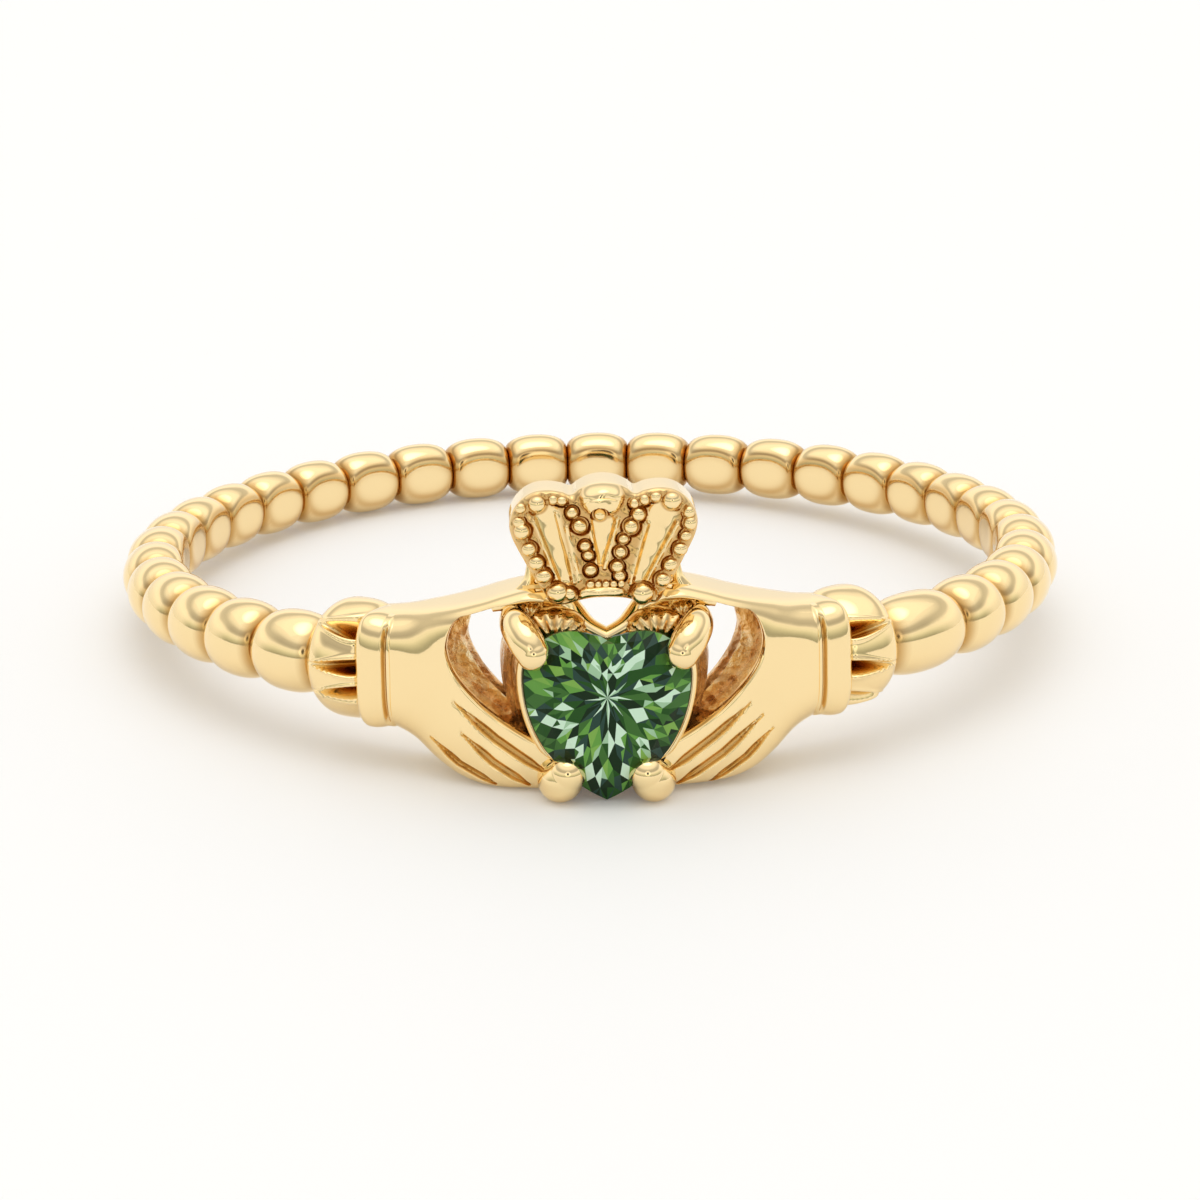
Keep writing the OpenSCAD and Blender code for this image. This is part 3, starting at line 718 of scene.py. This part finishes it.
def makeBridge():
    bm = bmesh.new()
    layer = bm.verts.layers.float.new("cavity")
    for side in (1, -1):
        tube(bm, [(side * x, y, z) for x, y, z in bridge["path"]], bridge["radii"], steps=50)
        for (mx, my, mz), size in bridge["mounds"]:
            mound = bmesh.ops.create_uvsphere(bm, u_segments=136, v_segments=24, radius=1)["verts"]
            for point in mound:  # ribs fan out from the mound's foot
                turn = math.atan2(point.co.z + 0.5, point.co.x)
                wave = math.cos(bridge["ribs"] * turn) * eased(-2 * point.co.y)
                rib = 1 + bridge["ribHeight"] * wave
                # painted shade: the mound is darkened all over under the crown and most in the
                # valleys between its ribs
                point[layer] = 0.5 - 0.4 * wave
                point.co = Vector((side * mx + point.co.x * size[0] * rib,
                                   my + point.co.y * size[1] * rib,
                                   mz + point.co.z * size[2] * rib))
    closeUp(bm)
    addPiece("bridge", bm, [gold], inSetting=True)


def makeWebs():
    bm = bmesh.new()
    for side in (1, -1):
        tube(bm, [(side * x, y, z) for x, y, z in bridge["web"]], bridge["webRadii"], steps=44)
    closeUp(bm)
    addPiece("webs", bm, [gold])


makeBasket()
makeClaws()
makeBridge()
makeWebs()
print("setting made")


# Crown

crown = {"front": 10.78, "thickness": 0.98, "rimRound": 0.17, "centre": (0.0, 2.85),
         "around": 400, "face": 96, "fluteDepth": 0.09, "pitDepth": 0.08, "pitWidth": 0.07,
         "pitShade": 0.82, "shade": 0.76, "ridge": 0.06, "ridgeWidth": 0.05, "uneven": 0.02,
         "fluteShade": 0.4, "lumpShade": 0.7, "sunkAtRim": 0.35, "raisedAtRim": 0.85}
# right half of the outline, from the top of the middle lobe to the middle of the base
crownHalf = [(0.0, 4.10), (0.26, 4.06), (0.47, 3.96), (0.62, 3.86), (0.80, 3.92), (1.05, 3.96),
             (1.30, 3.94), (1.52, 3.84), (1.70, 3.66), (1.80, 3.46), (1.83, 3.24), (1.78, 3.02),
             (1.68, 2.80), (1.56, 2.57), (1.42, 2.30), (1.29, 2.08), (1.18, 1.90), (1.10, 1.76),
             (0.98, 1.67), (0.76, 1.67), (0.48, 1.75), (0.24, 1.79)]
crownOutline = crownHalf + [(0.0, 1.80)] + [(-x, z) for x, z in reversed(crownHalf[1:])]
# grains: place in the front view and radius
grainRows = [(-1.28, 3.71, 0.175), (-1.60, 3.64, 0.110), (-1.64, 3.36, 0.103),
             (-1.59, 3.18, 0.160), (-1.46, 2.82, 0.145), (-1.32, 2.54, 0.130),
             (-1.18, 2.27, 0.140), (-0.97, 3.79, 0.085), (-0.80, 3.77, 0.088),
             (-0.61, 3.53, 0.103), (-0.46, 3.26, 0.135), (-0.37, 2.86, 0.093),
             (-0.31, 2.67, 0.086), (-0.27, 2.37, 0.105), (-0.92, 1.93, 0.190),
             (-0.68, 1.90, 0.120), (-0.07, 3.48, 0.125),
             (1.33, 3.71, 0.176), (1.02, 3.80, 0.100), (0.80, 3.75, 0.100),
             (0.60, 3.68, 0.090), (0.68, 3.46, 0.123), (0.53, 3.22, 0.147),
             (0.38, 2.98, 0.093), (0.32, 2.72, 0.110), (0.25, 2.43, 0.110),
             (0.29, 2.24, 0.100), (1.66, 3.48, 0.110), (1.68, 3.26, 0.127),
             (1.59, 3.01, 0.100), (1.48, 2.75, 0.135), (1.28, 2.44, 0.123),
             (1.13, 2.14, 0.147), (0.73, 1.87, 0.215)]
# flutes: foot, head, half width at the foot and at the head
fluteRows = [((-0.75, 2.2), (-1.08, 3.44), 0.13, 0.27), ((0.66, 2.15), (1.14, 3.44), 0.12, 0.30),
             ((-0.08, 2.5), (-0.01, 3.3), 0.05, 0.24)]
# thin raised lines beside the flutes
ridgeRows = [((-1.33, 3.38), (-0.93, 2.22)), ((-0.90, 3.50), (-0.60, 2.15)),
             ((-0.72, 3.24), (-0.50, 2.2)), ((1.42, 3.25), (0.80, 2.13)),
             ((0.84, 3.24), (0.50, 2.10)),
             ((0.27, 3.38), (0.0, 2.42)), ((-0.27, 3.25), (-0.14, 2.45))]
# lumps: place, half width, half height, rise, squareness and bend
lumpRows = [(-0.86, 1.92, 0.31, 0.20, 0.16, 2, 0.0), (0.73, 1.88, 0.31, 0.22, 0.16, 2, 0.0),
            (-0.06, 1.92, 0.46, 0.16, 0.20, 4, 0.25), (-0.02, 3.80, 0.43, 0.38, 0.34, 2, 0.0)]


def crownRelief(x, z):
    # how far the crown's face lies behind its front, and how much painted shade it gets there
    deep = cavity = fluted = raised = 0.0
    for foot, head, footWidth, headWidth in fluteRows:
        share, off = offLine(x, z, foot, head)
        width = between(footWidth, headWidth, min(max(share, 0.0), 1.0))
        inside = eased((1.15 - off / width) * 2.5)
        fluted = max(fluted, inside)
        deep = max(deep, crown["fluteDepth"] * inside * (1 - 0.35 * min(1.0, off / width) ** 2))
        edge = math.exp(-((off / width - 0.95) / 0.15) ** 2)
        cavity = max(cavity, crown["fluteShade"] * inside * edge)
    for start, end in ridgeRows:
        ridge = math.exp(-(offLine(x, z, start, end)[1] / crown["ridgeWidth"]) ** 2)
        deep -= crown["ridge"] * ridge
        raised = max(raised, ridge)
    for lumpX, lumpZ, halfX, halfZ, rise, square, bend in lumpRows:
        dx, dz = (x - lumpX) / halfX, (z - lumpZ + bend * (x - lumpX) ** 2) / halfZ
        reach = (abs(dx) ** square + abs(dz) ** square) ** (1 / square)
        deep -= rise * math.sqrt(max(0.0, 1 - reach ** 2))
        raised = max(raised, eased((1.05 - reach) * 5))
        cavity = max(cavity, crown["lumpShade"] * math.exp(-((reach - 1.06) / 0.1) ** 2))
    rough = math.sin(13 * x + 5 * z) * math.sin(12 * z - 4 * x)
    deep += crown["uneven"] * rough * (1 - 0.75 * fluted)
    for gx, gz, r in grainRows:
        off = (math.hypot(x - gx, z - gz) - r) / crown["pitWidth"]
        if off < 1:
            pit = eased((1 - off) * 1.8)
            deep = max(deep, crown["pitDepth"] * pit)
            cavity = max(cavity, crown["pitShade"] * pit)
    return deep, max(cavity, crown["shade"] * (1 - max(0.94 * fluted, raised)))


def heldAtRim(deep):
    # how much of the relief is left where the face meets its rounded rim
    return crown["sunkAtRim"] if deep > 0 else crown["raisedAtRim"]


def makeCrown():
    face, corner, side, back = crown["face"], 10, 3, 6
    total = face + corner + side + back
    cx, cz = crown["centre"]
    rimRound = crown["rimRound"]

    def place(u, v):
        k = round(v * total)
        ox, oz = along(crownOutline, u, closed=True)
        length = math.hypot(ox - cx, oz - cz)
        inset = (length - rimRound) / length
        cavity = 0.0
        if k <= face:
            share = (k / face) * inset
            x, z = between(cx, ox, share), between(cz, oz, share)
            deep, cavity = crownRelief(x, z)
            held = max(eased((1 - k / face) * 12), heldAtRim(deep))
            radius = crown["front"] - held * deep
        elif k <= face + corner:
            turn = (k - face) / corner * math.pi / 2
            share = between(inset, 1, math.sin(turn))
            x, z = between(cx, ox, share), between(cz, oz, share)
            deep, cavity = crownRelief(x, z)
            held = heldAtRim(deep) * math.cos(turn)
            radius = crown["front"] - rimRound * (1 - math.cos(turn)) - held * deep
            cavity *= math.cos(turn)
        elif k <= face + corner + side:
            x, z = ox, oz
            radius = between(crown["front"] - rimRound, crown["front"] - crown["thickness"],
                             (k - face - corner) / side)
        else:
            share = 1 - (k - face - corner - side) / back
            x, z = between(cx, ox, share), between(cz, oz, share)
            radius = crown["front"] - crown["thickness"]
        return Vector((x, -radius, z)), cavity

    bm = bmesh.new()
    sheet(bm, crown["around"], total, place)
    closeUp(bm)
    addPiece("crownPlate", bm, [gold], crease=60)


def makeGrains():
    random.seed(4)
    bm = bmesh.new()
    layer = bm.verts.layers.float.new("cavity")
    small = [(between(-0.28, 0.32, k / 4), 2.10, 0.07) for k in range(5)]
    for x, z, r in grainRows + small:
        # each grain was pressed by hand, so none is quite round
        shape = Matrix.Diagonal((random.uniform(0.98, 1.2), 0.9, random.uniform(0.96, 1.14), 1))
        spin = Matrix.Rotation(random.uniform(-0.6, 0.6), 4, "Y")
        front = -crown["front"] + (0.12 * r if r > 0.08 else -0.06)
        made = bmesh.ops.create_uvsphere(bm, u_segments=32, v_segments=22, radius=r,
                                         matrix=Matrix.Translation((x, front, z)) @ spin @ shape)
        for point in made["verts"]:
            # painted shade on each grain's sides and foot, leaving only its front bright
            point[layer] = 0.85 * eased(0.95 + 1.2 * (point.co.y - front) / r)
    addPiece("crownGrains", bm, [gold])


makeCrown()
makeGrains()
print("crown made")


# Heart stone

stone = {"jitter": 0.018, "seed": 5, "unevenlyLitHalves": 0.65, "cut": 0.5, "pavilionColour": "deep",
         "culet": 1.58}
# rings of points: how many, size, depth behind the table, and turn in steps
stoneRings = [(16, 0.12, 0.0, 0.5), (16, 0.29, 0.0, 1.0), (16, 0.44, 0.0, 1.5),
              (32, 0.56, 0.0, 3.0), (32, 0.67, 0.0, 3.5), (32, 0.78, 0.09, 4.0),
              (32, 0.89, 0.25, 4.5), (64, 1.0, 0.42, 9.0)]
stoneBack = [(1.0, 0.5), (0.62, 1.13), (0.3, 1.6)]
# the kites' colours paint the reflections and light seen inside the cut stone; the pavilion behind
# keeps a plain deep green
stoneColours = {"dark": (0.006, 0.024, 0.006), "slate": (0.024, 0.062, 0.046),
                "deep": (0.018, 0.080, 0.012), "green": (0.050, 0.150, 0.030),
                "grass": (0.13, 0.34, 0.06), "lime": (0.21, 0.42, 0.08),
                "mint": (0.36, 0.58, 0.37), "pale": (0.62, 0.84, 0.66)}
# how often each painted reflection colour is drawn for the kites of each ring, from the star
# outwards
stoneZones = [(5, 2, 3, 0, 0, 0, 0, 0), (7, 3, 4, 1, 0, 0, 0, 0), (3, 2, 2, 2, 2, 1, 2, 4),
              (5, 3, 3, 3, 2, 0, 2, 4), (4, 4, 3, 3, 2, 1, 3, 4), (4, 3, 3, 4, 3, 1, 3, 3),
              (4, 2, 4, 5, 4, 1, 2, 1), (4, 1, 5, 5, 4, 1, 1, 0)]


def makeStone():
    random.seed(stone["seed"])
    names = list(stoneColours)
    bm = bmesh.new()
    shade = bm.loops.layers.float_color.new("facet")
    front = heart["girdle"] + heart["crownHeight"]
    starZ = heart["height"] + heart["starHeight"]

    def atShare(share, size, behind):
        x, z = heartPoint(share % 1)
        height = (z - heart["starHeight"]) * size + starZ
        return bm.verts.new((x * size, -(front - behind), height))

    def ring(count, size, behind, turn):
        slack = stone["jitter"] if size < 0.95 else 0.0
        return [atShare((i + turn + random.uniform(-4, 4) * slack) / count,
                        size + random.uniform(-slack, slack), behind) for i in range(count)]

    def paint(points, name):
        face = bm.faces.new(points)
        for loop in face.loops:
            loop[shade] = (*stoneColours[name], 1.0)

    def halve(apex, first, second, names):
        middle = bm.verts.new(first.co.lerp(second.co, 0.5))
        paint((apex, first, middle), names[0])
        paint((apex, middle, second), names[1])

    # every edge of a ring carries a kite: one point towards the star and one towards the girdle
    rings = [ring(*row) for row in stoneRings]
    star = bm.verts.new((-0.01, -front, starZ))
    for k, points in enumerate(rings):
        count = len(points)
        for i in range(count):
            # each kite's two halves may be painted a shade apart, as if lit differently
            tones = [random.choices(range(len(names)), stoneZones[k])[0]]
            near = min(len(names) - 1, max(0, tones[0] + random.choice((-1, 1))))
            tones.append(near if random.random() < stone["unevenlyLitHalves"] else tones[0])
            # painted pale rays of the star, and one painted pale facet
            if k == 0 and i % 2:
                tones = [7, 6]
            if k == 2 and i == 14:
                tones = [7, 6]
            outside = list(tones)
            if random.random() < stone["cut"]:
                outside[random.randrange(2)] = random.choices(range(len(names)), stoneZones[k])[0]
            first, second = points[i], points[(i + 1) % count]
            if k == 0:
                inwards = star
            elif len(rings[k - 1]) == count:
                inwards = rings[k - 1][(i + 1) % count]
            else:
                inwards = rings[k - 1][(i + 1) // 2 % len(rings[k - 1])]
            halve(inwards, first, second, [names[tone] for tone in tones])
            if k + 1 < len(rings):
                ahead = rings[k + 1]
                outwards = ahead[i] if len(ahead) == count else ahead[2 * i + 1]
                halve(outwards, first, second, [names[tone] for tone in outside])
    last = rings[-1]
    for size, behind in stoneBack:
        count = len(last)
        after = [atShare((i + stoneRings[-1][3]) / count, size, behind) for i in range(count)]
        for i in range(count):
            j = (i + 1) % count
            paint((last[i], last[j], after[j], after[i]), stone["pavilionColour"])
        last = after
    culet = bm.verts.new((0, -(heart["girdle"] - stone["culet"]), starZ))
    for i in range(len(last)):
        paint((culet, last[i], last[(i + 1) % len(last)]), stone["pavilionColour"])
    bmesh.ops.remove_doubles(bm, verts=bm.verts[:], dist=0.0001)
    bmesh.ops.recalc_face_normals(bm, faces=bm.faces[:])
    addPiece("heartStone", bm, [greenStone], node="heart_stone",
             inSetting=True, smooth=False)


makeStone()
print("stone made")


# Stage, camera and light

stage = {"floorColour": (0.85, 0.85, 0.86), "floorSize": 4.0, "floorGlow": 0.085,
         "lowTint": (0.97, 1.0, 0.86), "highTint": (1.0, 0.985, 0.95),
         "halo": 0.5, "lensWay": (0.024, -0.946, 0.322), "lensEdge": (0.989, 0.994),
         "haloEdge": (0.945, 0.975), "lensDark": 0.95, "rearEdge": (-0.25, 0.35)}
# brightness of the room in front by height: dim at the horizon, a dark gap under the soft box
roomStops = [(0.0, 0.42), (0.05, 0.46), (0.15, 0.70), (0.26, 0.95), (0.36, 1.0), (0.43, 0.58),
             (0.50, 0.50), (0.62, 0.60), (0.70, 0.92), (0.78, 1.05), (0.90, 1.08), (0.95, 1.9),
             (1.0, 2.05)]
# and behind, where it is brightest at the level of the background
rearStops = [(0.0, 0.92), (0.15, 1.0), (0.30, 1.15), (0.41, 1.12), (0.48, 0.72), (0.57, 0.66),
             (0.68, 1.0), (0.78, 1.10), (0.90, 1.12), (0.95, 1.75), (1.0, 1.9)]


def makeStage():
    bm = bmesh.new()
    bmesh.ops.create_grid(bm, x_segments=2, y_segments=2, size=stage["floorSize"] / 2)
    mesh = bpy.data.meshes.new("floor")
    bm.to_mesh(mesh)
    bm.free()
    finish = Finish(bpy.data.materials.new("paleFloor"))
    finish.set(Base_Color=(*stage["floorColour"], 1.0), Roughness=0.6)
    finish.shader.inputs["Specular IOR Level"].default_value = 0.2
    finish.shader.inputs["Emission Color"].default_value = (1.0, 1.0, 1.0, 1.0)
    finish.shader.inputs["Emission Strength"].default_value = stage["floorGlow"]
    mesh.materials.append(finish.owner)
    floor = bpy.data.objects.new("floor", mesh)
    bpy.context.collection.objects.link(floor)


def makeSky():
    world = bpy.data.worlds.new("studio")
    bpy.context.scene.world = world
    sky = Finish(world)
    aim = sky.add("ShaderNodeTexCoord")
    back = sky.add("ShaderNodeSeparateXYZ", {}, {0: aim}, output=1)
    up = sky.add("ShaderNodeSeparateXYZ", {}, {0: aim}, output=2)

    def ramp(value, low, high):
        return sky.add("ShaderNodeMapRange", {"interpolation_type": "SMOOTHSTEP"},
                       {"Value": value, "From Min": low, "From Max": high})

    def bands(rows):
        return sky.add("ShaderNodeValToRGB",
                       {"stops": [(height, (value,) * 3) for height, value in rows]}, {0: up})

    rear = ramp(back, *stage["rearEdge"])
    # the dark round of the lens, with the bright ring round it
    toLens = sky.add("ShaderNodeVectorMath", {"operation": "DOT_PRODUCT"},
                     {0: aim, 1: stage["lensWay"]}, output=1)
    lens, halo = ramp(toLens, *stage["lensEdge"]), ramp(toLens, *stage["haloEdge"])
    strength = bands(roomStops) * (1 - rear) + bands(rearStops) * rear + stage["halo"] * halo
    sky.join(strength * (1 - stage["lensDark"] * lens), sky.shader.inputs["Strength"])
    sky.join(sky.mixColour((ramp(up, 0.1, 0.45) + rear).clamped(0.0, 1.0),
                           stage["lowTint"], stage["highTint"]), sky.shader.inputs["Color"])


# the camera's pose fitted to the photo, in the ring's own frame before it is laid down
view = {"eye": (-2.366, -91.916, 22.691), "right": (0.999297, -0.032662, -0.018421),
        "up": (0.025982, 0.248861, 0.968191), "back": (-0.027038, -0.967988, 0.249535),
        "lens": 129.36}


def makeCamera():
    pose = Matrix((view["right"], view["up"], view["back"])).transposed().to_4x4()
    pose.translation = view["eye"]
    pose = laidDown @ pose
    data = bpy.data.cameras.new("camera")
    data.sensor_width = 36.0
    data.lens = view["lens"]
    data.clip_start = 0.001
    data.clip_end = 20.0
    camera = bpy.data.objects.new("camera", data)
    bpy.context.collection.objects.link(camera)
    aim = pose.to_3x3().normalized().to_4x4()
    camera.matrix_world = Matrix.Translation(pose.translation) @ aim
    bpy.context.scene.camera = camera


softBox = {"place": (0, 0.05, 0.3), "size": (0.5, 0.34), "power": 0.05, "colour": (1.0, 0.99, 0.97)}


def makeLamp():
    data = bpy.data.lights.new("overheadBox", "AREA")
    data.shape = "RECTANGLE"
    data.size, data.size_y = softBox["size"]
    data.energy = softBox["power"]
    data.color = softBox["colour"]
    lamp = bpy.data.objects.new("overheadBox", data)
    bpy.context.collection.objects.link(lamp)
    lamp.location = softBox["place"]
    lamp.rotation_euler = Vector(softBox["place"]).to_track_quat("Z", "Y").to_euler()


makeStage()
makeSky()
makeCamera()
makeLamp()
bpy.context.scene.view_settings.view_transform = "Standard"
print("stage, camera and light made")
